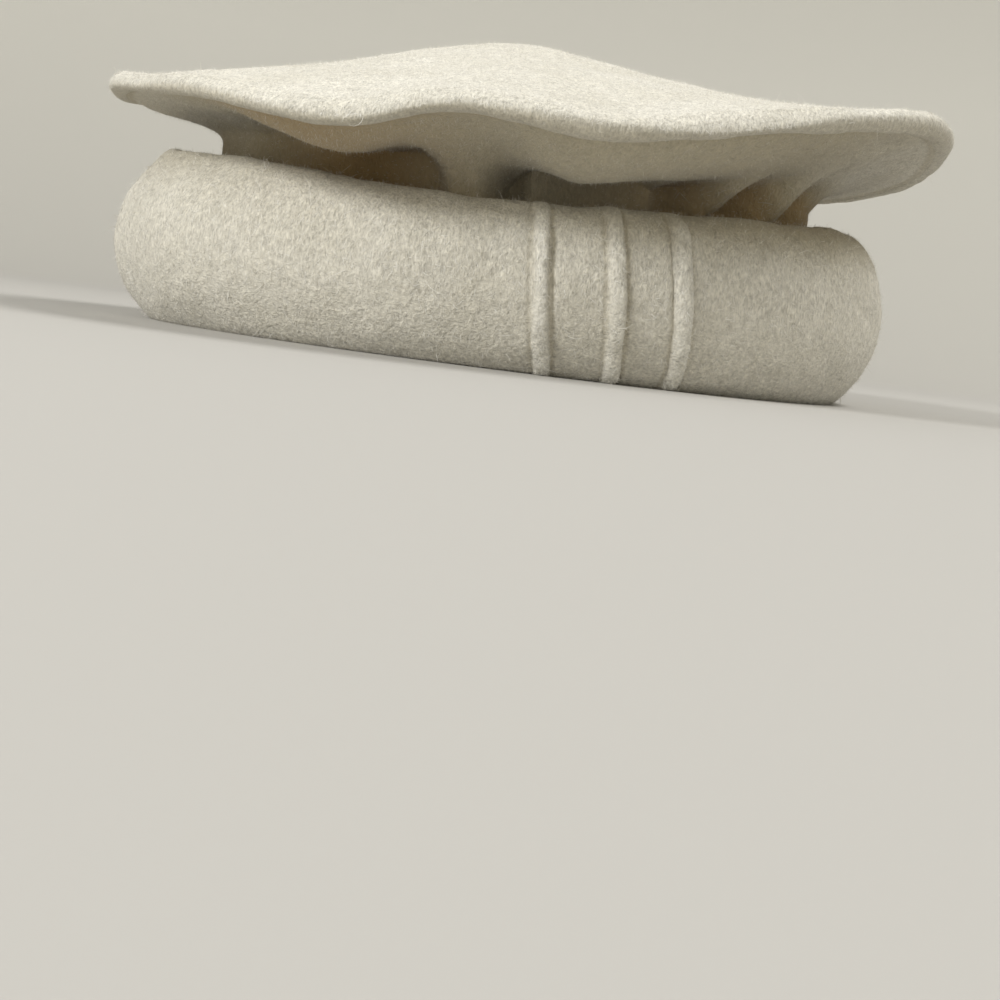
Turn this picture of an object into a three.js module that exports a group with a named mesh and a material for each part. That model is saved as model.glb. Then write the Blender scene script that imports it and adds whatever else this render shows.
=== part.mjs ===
// A pakol: a soft round hat of thick, undyed wool felt. A wavy disc makes the crown, with its edge turned
// under. A tube of the same felt is sewn below that edge and gathers in to the head, and the long lower part
// of the tube is rolled up on the outside into a thick band.
//
// Millimetres, +Z up. The front of the hat is at -Y and the wearer's left at +X. The hat rests on z = 0, and
// the origin is the middle of the opening for the head. A turn is an angle in degrees about +Z: 0 is the
// wearer's left, 90 the back, 180 the right and 270 the front.

import * as THREE from 'three';
import { LoftGeometry } from 'three/addons/geometries/LoftGeometry.js';

const { degToRad, euclideanModulo, lerp, radToDeg, smoothstep } = THREE.MathUtils;

// The felt
const CLOTH = 2.8; // thickness
const SEAM_GAP = 0.35; // room left between two pieces that are sewn together
const FELT_COLOUR = 0xdcd6c6;

// The opening for the head, an oval inside the wall
const HEAD_FRONT = 96; // from the middle to the front
const HEAD_BACK = 100; // from the middle to the back
const HEAD_SIDE = 82; // from the middle to each side

// The crown
const APEX_HEIGHT = 106.4; // top of the dome
const EDGE_THICKNESS = 6.4; // the turned edge, two layers of felt
const EDGE_TAPER = 1.5; // how much the upper half of the edge slopes off: 1 is round
const HEM_WIDTH = 5; // from the outside of the edge in to the seam under it
const PLANE_HEIGHT = 74.3; // the tilted plane that the waves of the edge rise above and fall below
const PLANE_TILT = 5.3; // how far the plane rises from the middle to its highest side
const PLANE_TURN = 97; // the turn of that side
const WAVE_FADE = 3; // how fast the waves die away towards the middle

// The roll
const ROLL_PRESS = 1; // how far its own weight presses the bottom of the roll flat
const ROLL_TWIST = 3.2; // degrees that the bottom of the roll is twisted on from its top
const LAYER_GAP = 0.9; // air between one turn of cloth and the next
const WALL_FOOT = 8; // height where the wall turns into the roll
// Angles in section where the cloth of the roll bends, from its loose edge inside to the bottom: 0 is the
// outside, 90 the top, 180 beside the wall, and 360 the outside again, one turn further in
const ROLL_INNER = [450, 410, 370, 330, 290, 250, 215, 180, 148, 120];
const ROLL_OUTER = [94, 70, 48, 26, 4, -18, -40, -62]; // the stretch that shows, where the ribs stand
const ROLL_BOTTOM = [-90];
const ROLL_WINDING = [...ROLL_INNER, ...ROLL_OUTER, ...ROLL_BOTTOM];

// The ribs, tucks that are sewn into the cloth of the roll on the wearer's left
const RIB_TURNS = [6.1, 17, 27]; // at half the roll's height
const RIB_WIDTH = 5.2;
const RIB_HEIGHT = 1.9;

// Outline of the crown from above, and the height of the middle of its turned edge
const RIM = [
  { turn: 0, radius: 140, height: 68.6 },
  { turn: 10, radius: 140, height: 67.2 },
  { turn: 20, radius: 140, height: 71.1 },
  { turn: 30, radius: 141, height: 76.4 },
  { turn: 45, radius: 142, height: 83 },
  { turn: 60, radius: 144, height: 88.2 },
  { turn: 75, radius: 145, height: 88.5 },
  { turn: 90, radius: 145, height: 83.5 },
  { turn: 105, radius: 144, height: 80 },
  { turn: 120, radius: 142, height: 77 },
  { turn: 137, radius: 140, height: 74 },
  { turn: 155, radius: 140, height: 74.5 },
  { turn: 172, radius: 139, height: 70 },
  { turn: 190, radius: 139, height: 66.5 },
  { turn: 207, radius: 138, height: 70 },
  { turn: 225, radius: 137, height: 76 },
  { turn: 245, radius: 136, height: 78.5 },
  { turn: 270, radius: 136, height: 76.5 },
  { turn: 287, radius: 136, height: 74 },
  { turn: 302, radius: 136.5, height: 69.5 },
  { turn: 318, radius: 138.5, height: 68.2 },
  { turn: 332, radius: 140, height: 64.1 },
  { turn: 341, radius: 140, height: 63.2 },
  { turn: 352, radius: 140, height: 69.3 },
];

// Profile of the dome: share of the way out from the middle to the edge, and share of the rise from the edge
// to the top
const DOME = [
  { share: 0, rise: 1 },
  { share: 0.08, rise: 0.975 },
  { share: 0.2, rise: 0.865 },
  { share: 0.32, rise: 0.73 },
  { share: 0.45, rise: 0.565 },
  { share: 0.58, rise: 0.41 },
  { share: 0.72, rise: 0.265 },
  { share: 0.86, rise: 0.13 },
  { share: 1, rise: 0 },
];

// The cloth under the crown: the height where it leaves the neck, how much higher it has bent outwards, and
// how far it hangs below a straight line to the edge
const UNDERSIDE = [
  { turn: 4, leaves: 59, bend: 5, droop: 13 },
  { turn: 12, leaves: 60, bend: 5, droop: 19 },
  { turn: 30, leaves: 60, bend: 5, droop: 14.5 },
  { turn: 60, leaves: 60, bend: 6, droop: 4 },
  { turn: 90, leaves: 62, bend: 9, droop: 0 },
  { turn: 135, leaves: 59, bend: 9, droop: 1 },
  { turn: 180, leaves: 55, bend: 9, droop: 2 },
  { turn: 225, leaves: 59, bend: 9, droop: 1 },
  { turn: 270, leaves: 61, bend: 9, droop: 3 },
  { turn: 315, leaves: 60, bend: 9, droop: 2 },
  { turn: 333, leaves: 59, bend: 9, droop: 14 },
  { turn: 343, leaves: 58, bend: 9, droop: 5 },
  { turn: 348, leaves: 50, bend: 9, droop: 2 },
  { turn: 358, leaves: 50, bend: 9, droop: 2 },
];

// Gathers of the cloth under the crown: where each one leaves the neck, how far it spreads to each side, how
// far it pushes out and hangs down, the share of the way in from the edge where it starts, and how far its
// outer end leans towards higher turns
const GATHERS = [
  { turn: 1, spread: 4, out: -8, down: 0, starts: 0.4, lean: 0 },
  { turn: 15, spread: 12, out: -6, down: 0, starts: 0.5, lean: 2 },
  { turn: 27, spread: 4, out: 1, down: 2, starts: 0.4, lean: 6 },
  { turn: 33, spread: 6, out: -7, down: 0, starts: 0.4, lean: 7 },
  { turn: 39, spread: 5, out: 3, down: 7, starts: 0.4, lean: 8 },
  { turn: 47, spread: 6, out: -7, down: 0, starts: 0.4, lean: 8 },
  { turn: 55, spread: 5, out: 3, down: 7, starts: 0.4, lean: 8 },
  { turn: 64, spread: 6, out: -6, down: 0, starts: 0.4, lean: 8 },
  { turn: 74, spread: 6, out: 1, down: 1, starts: 0.4, lean: 8 },
  { turn: 119, spread: 10, out: -4, down: 0, starts: 0.2, lean: 5 },
  { turn: 131, spread: 9, out: 3, down: 2, starts: 0.2, lean: 5 },
  { turn: 150, spread: 12, out: -4, down: 0, starts: 0.2, lean: 5 },
  { turn: 171, spread: 11, out: 4, down: 2, starts: 0.2, lean: 5 },
  { turn: 187, spread: 10, out: -5, down: 0, starts: 0.2, lean: 5 },
  { turn: 206, spread: 12, out: 3, down: 2, starts: 0.2, lean: 5 },
  { turn: 223, spread: 11, out: -4, down: 0, starts: 0.2, lean: 5 },
  { turn: 247, spread: 12, out: -4, down: 0, starts: 0.2, lean: 5 },
  { turn: 290, spread: 12, out: -2, down: 0, starts: 0.2, lean: 0 },
  { turn: 313, spread: 12, out: -3, down: 0, starts: 0.2, lean: 0 },
  { turn: 333, spread: 12, out: -4, down: 0, starts: 0.2, lean: 0 },
  { turn: 350, spread: 4.5, out: 10, down: 0, starts: 0, lean: 0 },
  { turn: 354.5, spread: 4.5, out: 10, down: 0, starts: 0, lean: 0 },
];

// The roll's height, its width from the head to the outside with the wall inside it, and how its outside
// rounds over towards its top and its bottom: 1 makes an ellipse, less is squarer and more is more tapered
const ROLL = [
  { turn: 0, height: 48.5, width: 32, top: 0.8, bottom: 1 },
  { turn: 30, height: 50.5, width: 32, top: 0.8, bottom: 1 },
  { turn: 60, height: 54.5, width: 32, top: 1, bottom: 1.3 },
  { turn: 90, height: 56, width: 31.5, top: 1.2, bottom: 1.7 },
  { turn: 135, height: 53, width: 32, top: 1, bottom: 1.3 },
  { turn: 180, height: 50, width: 32, top: 0.8, bottom: 1 },
  { turn: 225, height: 53, width: 33, top: 1.2, bottom: 1.3 },
  { turn: 270, height: 56.5, width: 34, top: 1.9, bottom: 1.7 },
  { turn: 300, height: 53.5, width: 34, top: 1.7, bottom: 1.5 },
  { turn: 330, height: 50, width: 32.5, top: 1.2, bottom: 1.2 },
];

// A column of a table at any turn, as a smooth curve through the rows that closes on itself.
function around(table, column, turn) {
  const wrapped = euclideanModulo(turn, 360);
  const after = table.findIndex((row) => row.turn > wrapped);
  const next = after < 0 ? table.length : after;
  const [before, from, to, beyond] = [next - 2, next - 1, next, next + 1].map((index) => {
    const row = table[euclideanModulo(index, table.length)];
    return { at: row.turn + 360 * Math.floor(index / table.length), value: row[column] };
  });
  const span = to.at - from.at;
  const t = (wrapped - from.at) / span;
  const slopeFrom = (span * (to.value - before.value)) / (to.at - before.at);
  const slopeTo = (span * (beyond.value - from.value)) / (beyond.at - from.at);
  const bend = 2 * from.value - 2 * to.value + slopeFrom + slopeTo;
  const sag = -3 * from.value + 3 * to.value - 2 * slopeFrom - slopeTo;
  return ((bend * t + sag) * t + slopeFrom) * t + from.value;
}

// How far the gathers move the cloth out and up, at a turn and a share of the way from the edge to the neck.
function gatherPush(turn, along) {
  const push = new THREE.Vector2();
  for (const gather of GATHERS) {
    const middle = gather.turn + gather.lean * (1 - along);
    const away = Math.abs(euclideanModulo(turn - middle + 180, 360) - 180);
    const share = smoothstep(along, gather.starts, 0.9) * (1 - smoothstep(away, 0, gather.spread));
    push.x += gather.out * share;
    push.y -= gather.down * share;
  }
  return push;
}

// Radius of the inside of the wall, an oval that fits the head.
function headRadius(turn) {
  const angle = degToRad(turn);
  const halfLength = Math.sin(angle) > 0 ? HEAD_BACK : HEAD_FRONT;
  return 1 / Math.hypot(Math.cos(angle) / HEAD_SIDE, Math.sin(angle) / halfLength);
}

// A point of a section, radius across and height up, set in space at its turn.
function setAtTurn(point, turn) {
  const angle = degToRad(turn);
  return new THREE.Vector3(point.x * Math.cos(angle), point.x * Math.sin(angle), point.y);
}

// The two faces of a length of felt whose middle follows a path, as one closed outline.
function feltOutline(path) {
  const outside = [];
  const inside = [];
  path.forEach((point, index) => {
    const behind = path[Math.max(index - 1, 0)];
    const ahead = path[Math.min(index + 1, path.length - 1)];
    const along = ahead.clone().sub(behind).normalize();
    const across = new THREE.Vector2(-along.y, along.x).multiplyScalar(CLOTH / 2);
    outside.push(point.clone().add(across));
    inside.push(point.clone().sub(across));
  });
  return [...outside, ...inside.reverse()];
}

// Turns that are evenly spaced all the way round.
function evenTurns(count) {
  return Array.from({ length: count }, (_, index) => (360 * index) / count);
}

// Cloth that goes all the way round, from its section at each turn.
function clothAround(turns, sectionAt) {
  const sections = turns.map(sectionAt);
  return new LoftGeometry([...sections, sections[0]]);
}

// Crown

// Height of the top of the crown, at a share of the way out from the middle to where the edge rounds over.
function domeHeight(turn, share) {
  const outer = DOME.findIndex((row) => row.share >= share);
  const inner = Math.max(outer - 1, 0);
  const along = outer > inner ? (share - DOME[inner].share) / (DOME[outer].share - DOME[inner].share) : 0;
  const rise = lerp(DOME[inner].rise, DOME[outer].rise, along);

  const plane = PLANE_HEIGHT + PLANE_TILT * Math.cos(degToRad(turn - PLANE_TURN));
  const wave = around(RIM, 'height', turn) - plane;
  const edge = plane + wave * share ** WAVE_FADE + EDGE_THICKNESS / 2;
  return lerp(edge, APEX_HEIGHT, rise);
}

// Half of the crown's section: out along the top, round the edge, in along the hem, and back under the top.
function crownOutline(turn) {
  const radius = around(RIM, 'radius', turn);
  const height = around(RIM, 'height', turn);
  const edgeRound = EDGE_THICKNESS / 2;
  const flatRadius = radius - edgeRound;
  const hemRadius = radius - HEM_WIDTH;
  const underTop = (share) => new THREE.Vector2(flatRadius * share, domeHeight(turn, share) - CLOTH);

  const top = DOME.map((row) => new THREE.Vector2(flatRadius * row.share, domeHeight(turn, row.share)));
  const edge = [50, 10, -30, -90].map((degrees) => {
    const angle = degToRad(degrees);
    const across = Math.cos(angle) ** (degrees > 0 ? EDGE_TAPER : 1);
    return new THREE.Vector2(flatRadius + edgeRound * across, height + edgeRound * Math.sin(angle));
  });
  const hem = [new THREE.Vector2(hemRadius, height - edgeRound), underTop(hemRadius / flatRadius)];
  const under = [0.75, 0.45, DOME[0].share].map(underTop);
  return [...top, ...edge, ...hem, ...under];
}

function crownGeometry() {
  const sectionAt = (turn) => crownOutline(turn).map((point) => setAtTurn(point, turn));
  return clothAround(evenTurns(72), sectionAt);
}

// Wall

// Middle of the wall's cloth in section: in from the seam under the edge, and down the neck to the roll.
function wallPath(turn) {
  const neck = headRadius(turn) + CLOTH / 2;
  const leaves = around(UNDERSIDE, 'leaves', turn);
  const bend = around(UNDERSIDE, 'bend', turn);
  const droop = around(UNDERSIDE, 'droop', turn);
  const seamRadius = around(RIM, 'radius', turn) - HEM_WIDTH - SEAM_GAP;
  const seamHeight = around(RIM, 'height', turn) - EDGE_THICKNESS / 2 + CLOTH / 2;
  const allowance = 3; // the stretch that lies flat along the seam

  const seam = new THREE.Vector2(seamRadius, seamHeight);
  const start = new THREE.Vector2(seamRadius - allowance, seamHeight);
  const end = new THREE.Vector2(neck, leaves);
  const middle = start.clone().lerp(end, 0.4);
  const underside = new THREE.CubicBezierCurve(
    start,
    new THREE.Vector2(middle.x, lerp(start.y, end.y, 0.15) - droop),
    new THREE.Vector2(neck, leaves + bend),
    end,
  );
  const steps = 6;
  const plain = underside.getPoints(steps);
  const gathered = plain.map((point, index) => point.add(gatherPush(turn, index / steps)));
  const foot = new THREE.Vector2(neck, WALL_FOOT + SEAM_GAP);
  const pulledIn = Math.min(gatherPush(turn, 1).x, 0); // a gather that pushes inwards goes on down the neck
  const down = [new THREE.Vector2(neck + 0.9 * pulledIn, leaves - 10), new THREE.Vector2(neck, leaves - 24)];
  return [seam, ...gathered, ...down, foot];
}

// Turns of the wall's sections: close together where the gathers are tight, on the wearer's left.
function wallTurns() {
  const wide = evenTurns(50).filter((turn) => turn >= 84 && turn <= 336);
  const close = Array.from({ length: 38 }, (_, index) => euclideanModulo(index * 2.7 - 20, 360));
  return [...wide, ...close].sort((a, b) => a - b);
}

function wallGeometry() {
  const sectionAt = (turn) => feltOutline(wallPath(turn)).map((point) => setAtTurn(point, turn));
  return clothAround(wallTurns(), sectionAt);
}

// Roll

// Half of a rib's width, in degrees of turn.
function ribSpread(turn) {
  return radToDeg(RIB_WIDTH / 2 / (headRadius(turn) + around(ROLL, 'width', turn)));
}

// How far the ribs stand out at a turn.
function ribHeight(turn) {
  let height = 0;
  for (const ribTurn of RIB_TURNS) {
    const away = Math.abs(turn - ribTurn) / ribSpread(ribTurn);
    if (away < 1) height = RIB_HEIGHT * Math.sqrt(1 - away ** 2);
  }
  return height;
}

// Turns of the roll's sections: evenly spaced, with a few more across each rib.
function rollTurns() {
  const acrossRib = [-1, -0.7, 0, 0.7, 1];
  const ribs = RIB_TURNS.flatMap((turn) => acrossRib.map((share) => turn + share * ribSpread(turn)));
  const plain = evenTurns(54).filter((turn) => ribs.every((rib) => Math.abs(turn - rib) > 1.5));
  return [...plain, ...ribs].sort((a, b) => a - b);
}

// Middle of the roll's cloth in section, as distance out from the head and height up: from its loose edge
// inside the roll, round and up beside the wall, over the top, down the outside, and under to the wall.
function rollPath(turn) {
  const height = around(ROLL, 'height', turn);
  const width = around(ROLL, 'width', turn);
  const top = around(ROLL, 'top', turn);
  const bottom = around(ROLL, 'bottom', turn);
  const inner = CLOTH + SEAM_GAP;
  const middle = new THREE.Vector2((inner + width) / 2, (height - ROLL_PRESS) / 2);
  const half = new THREE.Vector2((width - inner) / 2, (height + ROLL_PRESS) / 2);

  const wound = ROLL_WINDING.map((degrees) => {
    const angle = degToRad(degrees);
    const layersIn = smoothstep(degrees, 110, 250);
    const inset = CLOTH / 2 + layersIn * (CLOTH + LAYER_GAP);
    const across = Math.cos(angle);
    const rounding = Math.sin(angle) > 0 ? top : bottom;
    const out = middle.x + (half.x - inset) * (across > 0 ? across ** rounding : across);
    const up = middle.y + (half.y - inset) * Math.sin(angle);
    return new THREE.Vector2(out, Math.max(up, inset));
  });
  const foot = [
    new THREE.Vector2(CLOTH / 2 + 5, CLOTH / 2),
    new THREE.Vector2(CLOTH / 2 + 1.3, CLOTH / 2 + 1),
    new THREE.Vector2(CLOTH / 2, WALL_FOOT - 3),
    new THREE.Vector2(CLOTH / 2, WALL_FOOT),
  ];
  return [...wound, ...foot];
}

// The roll's section at a turn. It leans with the twist of the cloth, and the ribs stand on its outer face.
function rollSection(turn) {
  const height = around(ROLL, 'height', turn);
  const path = rollPath(turn);
  const rib = ribHeight(turn);
  const pressedFlat = 0.3; // felt this close to the surface lies on it
  return feltOutline(path).map((point, index) => {
    const ribbed = index < path.length && ROLL_OUTER.includes(ROLL_WINDING[index]);
    const away = ribbed ? point.clone().sub(path[index]).setLength(rib) : new THREE.Vector2();
    const out = point.x + away.x;
    const up = point.y + away.y < pressedFlat ? 0 : point.y + away.y;
    const leaning = turn + ROLL_TWIST * ((1 - up / height) ** 2 - 0.25);
    return setAtTurn(new THREE.Vector2(headRadius(leaning) + out, up), leaning);
  });
}

function rollGeometry() {
  return clothAround(rollTurns(), rollSection);
}

// Assembly

function feltMesh(name, geometry) {
  const felt = new THREE.MeshStandardMaterial({ color: FELT_COLOUR, roughness: 1, metalness: 0 });
  const mesh = new THREE.Mesh(geometry, felt);
  mesh.name = name;
  return mesh;
}

const pakol = new THREE.Group();
pakol.add(feltMesh('crown_top', crownGeometry()));
pakol.add(feltMesh('side_wall', wallGeometry()));
pakol.add(feltMesh('rolled_band', rollGeometry()));

export default pakol;
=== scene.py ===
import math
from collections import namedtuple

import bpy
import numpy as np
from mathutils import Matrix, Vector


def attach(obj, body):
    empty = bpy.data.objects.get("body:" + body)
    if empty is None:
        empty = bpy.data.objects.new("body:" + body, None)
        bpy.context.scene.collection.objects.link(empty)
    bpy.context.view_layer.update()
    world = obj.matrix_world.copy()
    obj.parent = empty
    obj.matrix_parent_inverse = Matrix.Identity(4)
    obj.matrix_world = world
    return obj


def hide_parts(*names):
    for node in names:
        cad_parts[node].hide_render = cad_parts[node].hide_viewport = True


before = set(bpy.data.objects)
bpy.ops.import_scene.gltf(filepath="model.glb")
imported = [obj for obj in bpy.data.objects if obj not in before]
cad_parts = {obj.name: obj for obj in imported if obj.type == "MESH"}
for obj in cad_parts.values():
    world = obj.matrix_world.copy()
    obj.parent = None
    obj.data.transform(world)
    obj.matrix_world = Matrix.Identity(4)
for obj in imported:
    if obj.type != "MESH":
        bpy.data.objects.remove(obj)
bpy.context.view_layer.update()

# A pakol of thick, undyed wool felt, standing on a pale studio floor.
#
# The hat is worked out in millimetres from the same named sizes and tables as its solids, with further ones
# for wear, colour and hairs, and becomes metres where a mesh is made. +Z is up, the front of the hat is at -Y
# and the wearer's left at +X. A turn is an angle in degrees about +Z: 0 is the wearer's left, 90 the back,
# 180 the right and 270 the front.

MM = 0.001


def table(columns, *rows):
    """Rows of numbers as one array for each named column."""
    return {name: np.array(values, float) for name, values in zip(columns.split(), zip(*rows))}


def rows_of(columns):
    return zip(*columns.values())


# The felt
CLOTH = 2.8  # its thickness
SEAM_GAP = 0.35  # between sewn pieces

# The opening for the head, an oval inside the wall, as distances from its middle
HEAD_FRONT = 96.0
HEAD_BACK = 100.0
HEAD_SIDE = 82.0

# The crown
APEX_HEIGHT = 106.4  # top of the dome
EDGE_THICKNESS = 6.4
HEM_WIDTH = 5.0  # from the outside of the edge in to the seam under it
SEAM_GROOVE = 0.3  # how deep that seam lies
PLANE_HEIGHT = 74.3  # the tilted plane that the waves of the edge rise above and fall below
PLANE_TILT = 5.3  # how far the plane rises from the middle to its highest side
PLANE_TURN = 97.0  # the turn of that side
WAVE_FADE = 3.0  # how fast the waves die away towards the middle

# The wall
SEAM_FLAT = 3.0  # how far the cloth lies flat inside the seam
CURVE_IN = 0.4  # the first bend of the cloth under the crown, as a share of the way in
CURVE_DOWN = 0.15  # and as a share of the way down
DENT_KEPT = 0.9  # the share of a dent at the neck that goes on below it
DENT_DROP = 10.0  # how far down the dent goes on
BACK_OUT = 14.0  # how much further down the wall is back at the head
WALL_FOOT = 8.0  # height where the wall turns into the roll

# The roll
ROLL_PRESS = 1.0  # how far its own weight presses the bottom of the roll flat
ROLL_TWIST = 3.2  # degrees that the bottom of the roll is twisted on from its top
LAYER_GAP = 0.9  # air between one turn of cloth and the next
RELIEF_STARTS = (-84.0, -60.0)  # degrees of its section between which ribs and lumps begin above its bottom

# The roll's foot, where its cloth comes in under it to the wall: how far out from the head, and how high
ROLL_FOOT = table("out up", (6.4, 1.4), (3.6, 1.8), (1.8, 3.4), (1.4, 5.5), (1.4, 8.0))

# The ribs: the turn of each one at half the roll's height, and how deep a groove lies on each side of it
RIBS = table("turn before after", (6.1, 0.25, 0.5), (17.0, 0.25, 0.5), (27.0, 0.4, 0.25))
RIB_WIDTH = 5.2
RIB_HEIGHT = 1.9
RIB_SWAY = 0.1  # how far a rib wavers, in degrees of turn
RIB_SWELL = 0.1  # the share by which it gets higher and lower along its length
RIB_LUMPS = 0.2  # and the share by which its fine lumps do
GROOVE_PLACE = 1.22  # in half widths of a rib, as is the width
GROOVE_WIDTH = 0.26

# Outline of the crown from above, and the height of the middle of its turned edge
RIM = table(
    "turn radius height",
    (0, 140, 68.6), (10, 140, 67.2), (20, 140, 71.1), (30, 141, 76.4), (45, 142, 83), (60, 144, 88.2),
    (75, 145, 88.5), (90, 145, 83.5), (105, 144, 80), (120, 142, 77), (137, 140, 74), (155, 140, 74.5),
    (172, 139, 70), (190, 139, 66.5), (207, 138, 70), (225, 137, 76), (245, 136, 78.5), (270, 136, 76.5),
    (287, 136, 74), (302, 136.5, 69.5), (318, 138.5, 68.2), (332, 140, 64.1), (341, 140, 63.2),
    (352, 140, 69.3),
)

# What wear does to the crown's edge: how much its upper half slopes off, where 1 is round and the solids
# have 1.5 all round, how far its outermost line sags below its middle, how much thinner it is, and how much
# lower it hangs
EDGE = table(
    "turn taper sag thin drop",
    (0, 1.7, 0.1, 0, 0), (10, 1.5, -1, 0, 0), (19, 1.8, 1.2, 0, 0), (26, 2.2, 1.9, 0, 0),
    (32, 2.4, 1.4, 0, 0), (41, 2.2, -0.8, 0, 0), (52, 2, -1, 0, 0), (65, 2, -0.5, 0, 0), (90, 2, 0, 0, 0),
    (180, 2, 0, 0, 0), (245, 2, 0, 0, 0), (260, 1.6, 0.3, 0, 1.2), (273, 1.4, 1.2, 0, 2.3),
    (285, 1.4, 1.2, 0.3, 1), (297, 2, 0, 1.7, 0), (308, 2.3, -0.2, 1.5, 0), (318, 2.5, 0, 0.3, 0),
    (325, 2.7, 0.2, 0, 0), (337, 2.4, 1, 0, 0), (344, 2.2, 1.6, 0, 0), (350, 2, 1.4, 0, 0),
)

# Profile of the dome: share of the way out to the edge, and share of the rise from the edge to the top
DOME = table(
    "share rise",
    (0, 1), (0.08, 0.975), (0.2, 0.865), (0.32, 0.73), (0.45, 0.565), (0.58, 0.41), (0.72, 0.265),
    (0.86, 0.13), (1, 0),
)

# The cloth under the crown: the height where it leaves the neck, how much higher it has bent outwards, and
# how far it hangs below a straight line to the edge
UNDERSIDE = table(
    "turn leaves bend droop",
    (4, 59, 5, 13), (12, 60, 5, 19), (30, 60, 5, 14.5), (60, 60, 6, 4), (90, 62, 9, 0), (135, 59, 9, 1),
    (180, 55, 9, 2), (225, 59, 9, 1), (270, 61, 9, 3), (315, 60, 9, 2), (333, 59, 9, 14), (343, 58, 9, 5),
    (348, 50, 9, 2), (358, 50, 9, 2),
)

# Gathers of the cloth under the crown: where each one leaves the neck, how far it spreads to each side, how
# far it pushes out and hangs down, the share of the way in from the edge where it starts, and how far its
# outer end leans towards higher turns
GATHERS = table(
    "turn spread out down starts lean",
    (1, 4, -8, 0, 0.4, 0), (15, 12, -6, 0, 0.5, 2), (27, 4, 1, 2, 0.4, 6), (33, 6, -7, 0, 0.4, 7),
    (39, 5, 3, 7, 0.4, 8), (47, 6, -7, 0, 0.4, 8), (55, 5, 3, 7, 0.4, 8), (64, 6, -6, 0, 0.4, 8),
    (74, 6, 1, 1, 0.4, 8), (119, 10, -4, 0, 0.2, 5), (131, 9, 3, 2, 0.2, 5), (150, 12, -4, 0, 0.2, 5),
    (171, 11, 4, 2, 0.2, 5), (187, 10, -5, 0, 0.2, 5), (206, 12, 3, 2, 0.2, 5), (223, 11, -4, 0, 0.2, 5),
    (247, 12, -4, 0, 0.2, 5), (290, 12, -2, 0, 0.2, 0), (313, 12, -3, 0, 0.2, 0), (333, 12, -4, 0, 0.2, 0),
    (350, 4.5, 10, 0, 0, 0), (354.5, 4.5, 10, 0, 0, 0),
)

# Painted shade, warmer and darker where shade falls: how much the cloth gets under the crown near the edge,
# deep in at the neck, and on the top of the roll
PAINTED_SHADE = table(
    "turn outer deep roll",
    (0, 0.5, 0.55, 0.1), (45, 0.5, 0.85, 0.45), (80, 0.17, 0.85, 0.45), (135, 0.3, 0.85, 0.3),
    (225, 0.3, 0.85, 0.3), (270, 0.3, 0.65, 0.15), (300, 0.33, 0.6, 0.2), (330, 0.8, 0.95, 0.08),
)
# The painted shade on the inside of the hat
PAINTED_SHADE_INSIDE = 0.3
PAINTED_SHADE_SEAM = 0.15  # how much more painted shade the cloth gets in the seam than beside it
PAINTED_SHADE_EDGE = (-20.0, 35.0)  # degrees down the crown's edge between which it gets painted shade
PAINTED_SHADE_DEEP = (0.45, 0.95)  # shares of the way in to the neck between which the deep painted shade begins
PAINTED_SHADE_GATHER = 30.0  # how far a gather has to stand out to count as a whole way nearer the edge
PAINTED_SHADE_ROLL = 0.1  # the painted shade on the plain outside of the roll
PAINTED_SHADE_TOP = (25.0, 75.0)  # degrees of the roll's section between which its top gets painted shade under the crown
RIB_PAINTED_HIGHLIGHT = 0.05  # painted highlight: painted shade taken off for each millimetre that a rib stands out
GROOVE_PAINTED_SHADE = 0.3  # painted shade added for each millimetre that a groove lies deep

# The roll's height, its width from the head to the outside with the wall inside it, and how its outside
# rounds over towards its top and its bottom: 1 makes an ellipse, less is squarer and more is more tapered
ROLL = table(
    "turn height width top bottom",
    (0, 48.5, 32, 0.8, 1), (30, 50.5, 32, 0.8, 1), (60, 54.5, 32, 1, 1.3), (90, 56, 31.5, 1.2, 1.7),
    (135, 53, 32, 1, 1.3), (180, 50, 32, 0.8, 1), (225, 53, 33, 1.2, 1.3), (270, 56.5, 34, 1.9, 1.7),
    (300, 53.5, 34, 1.7, 1.5), (330, 50, 32.5, 1.2, 1.2),
)

# A faint crease on the top of the crown near its front edge: the turns it runs between and fades over, how
# far in it is, how it wanders, and the bumps of its section
CREASE_TURNS = (281.0, 323.0)
CREASE_FADE = 12.0
CREASE_INSET = 14.0
CREASE_WANDER = 3.0
CREASE_WAVES = 4.0
CREASE = table("place width height", (0, 1.1, -0.7), (3, 1.6, 0.25))

# A soft fold that runs down the front of the roll: its turn, how far it wanders from it, and the bumps of its
# section in degrees of turn
FOLD_TURN = 282.0
FOLD_WANDER = 2.0
FOLD = table("place width height", (2, 1.2, 0.6), (0, 0.9, -0.6))

# Soft lumps of the felt: their size, their depth and a seed
CROWN_LUMPS = table("size depth seed", (26, 0.7, 3), (9, 0.3, 4), (3.2, 0.14, 5))
WALL_LUMPS = table("size depth seed", (16, 0.6, 13), (6, 0.3, 14), (2.6, 0.12, 15))
ROLL_LUMPS = table("size depth seed", (24, 0.9, 23), (10, 0.45, 24), (3.6, 0.22, 25))

# How many columns of points go round each piece, and how many cross each rib
CROWN_COLUMNS = 432
WALL_COLUMNS = 440
ROLL_COLUMNS = 340
STUDIO_COLUMNS = 128
RIB_COLUMNS = 33
RIB_REACH = 2.4  # how many degrees to each side of a rib they are spread over
RIB_CLEAR = 2.6  # and how many the plain columns keep away

# Points along the crown's section: shares of the way out on its top, degrees round its edge, shares of the
# hem's width, and shares of the way back under the top
TOP_SHARES = np.concatenate((np.linspace(0.004, 0.78, 32), np.linspace(0.79, 1.0, 28)))
EDGE_DEGREES = np.linspace(75.0, -90.0, 12)
HEM_SHARES = np.linspace(0.3, 1.0, 4)
INSIDE_SHARES = np.linspace(0.93, 0.004, 16)

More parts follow.
